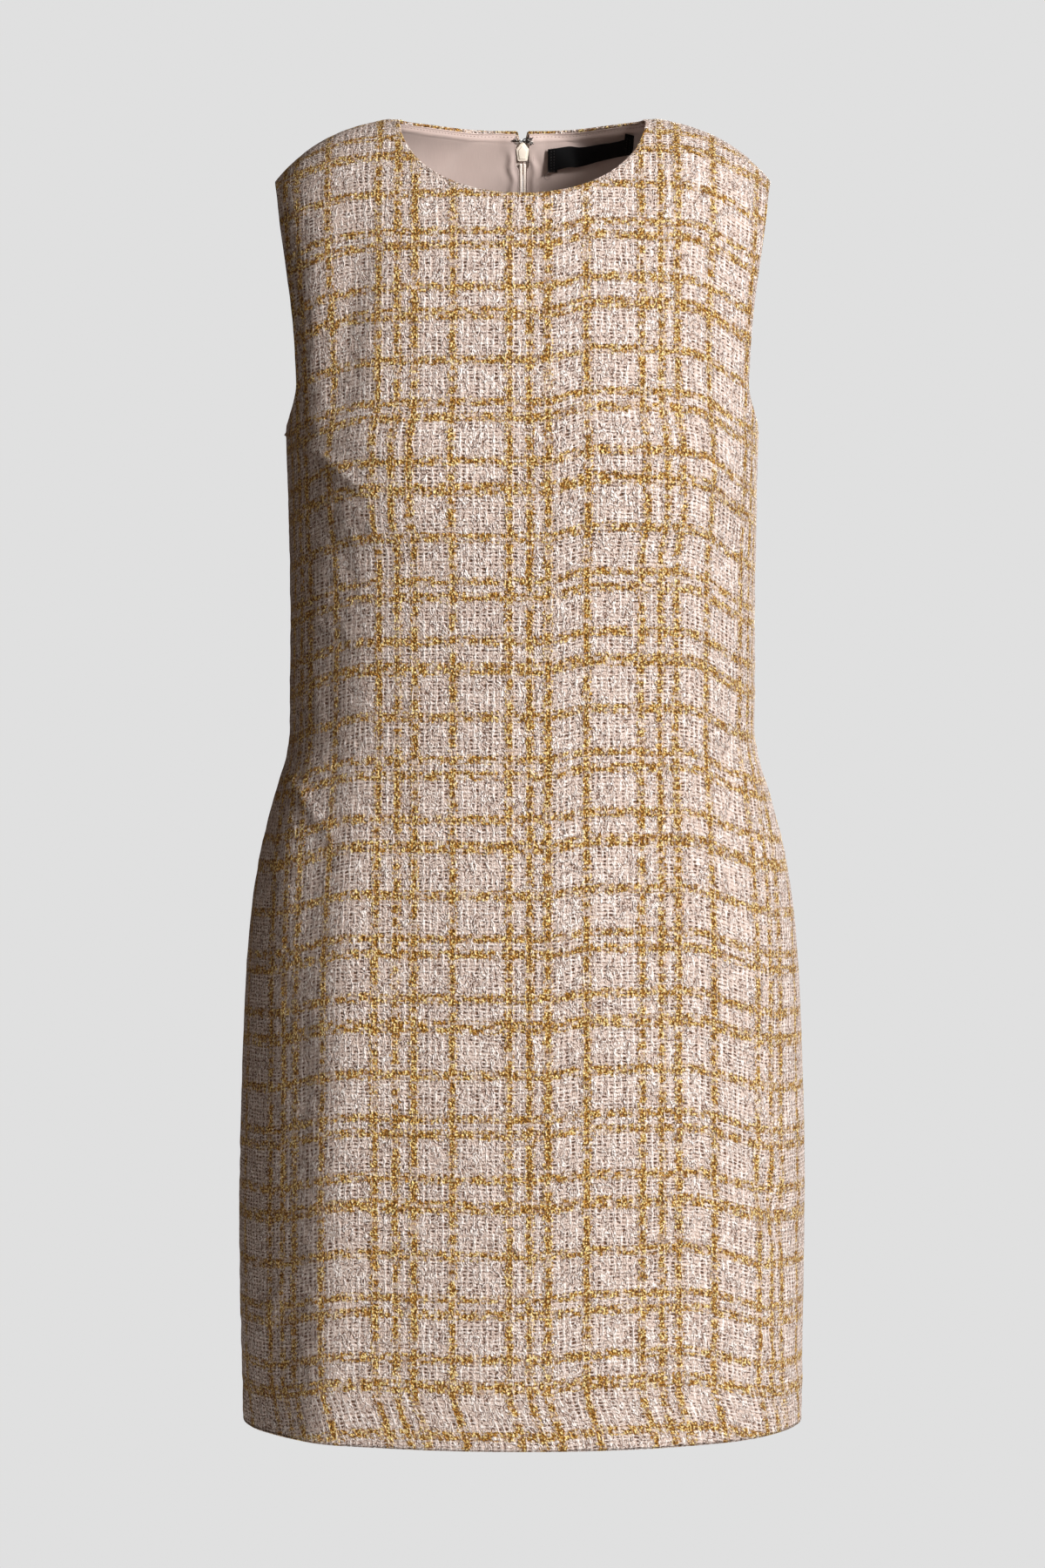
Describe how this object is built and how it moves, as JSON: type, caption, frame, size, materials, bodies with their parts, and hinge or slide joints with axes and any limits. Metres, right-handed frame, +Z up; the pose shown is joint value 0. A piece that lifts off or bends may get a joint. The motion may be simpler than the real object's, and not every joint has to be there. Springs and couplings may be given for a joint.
{
  "type": "shift dress",
  "caption": "Sleeveless above-knee shift dress in checked tweed, with a round neck, a full satin lining and an invisible zip at the centre back; hollow, in its worn form.",
  "frame": {"origin": "midway between the two points where the shoulder seams meet the neck, where the shoulders hold the dress up", "axes": "+X towards the wearer's left, +Y out of the back, +Z up; the front faces -Y"},
  "size_m": [0.3952, 0.2561, 0.909],
  "materials": {
    "tweed": "loose bouclé tweed with a gold metallic thread check",
    "satin_lining": "smooth satin",
    "zip_tape": "woven tape and nylon coil, dyed to match",
    "zip_enamel": "satin enamel",
    "fastener_metal": "black lacquered wire",
    "label_satin": "black satin ribbon, bare"
  },
  "bodies": {
    "dress": {"front": "tweed", "back_left": "tweed", "back_right": "tweed", "lining_front": "satin_lining", "lining_back_left": "satin_lining", "lining_back_right": "satin_lining", "zip_tape_left": "zip_tape", "zip_tape_right": "zip_tape", "zip_coil_left": "zip_tape", "zip_coil_right": "zip_tape", "zip_slider": "zip_enamel", "hook": "fastener_metal", "eye": "fastener_metal", "neck_label": "label_satin"},
    "zip_pull": {"zip_pull": "zip_enamel"}
  },
  "joints": [
    {"name": "zip_pull_swing", "type": "hinge", "parent": "dress", "child": "zip_pull", "pos_m": [0, 0.0551, -0.00839], "axis": [1, 0, 0], "range_deg": [0, 170]}
  ]
}
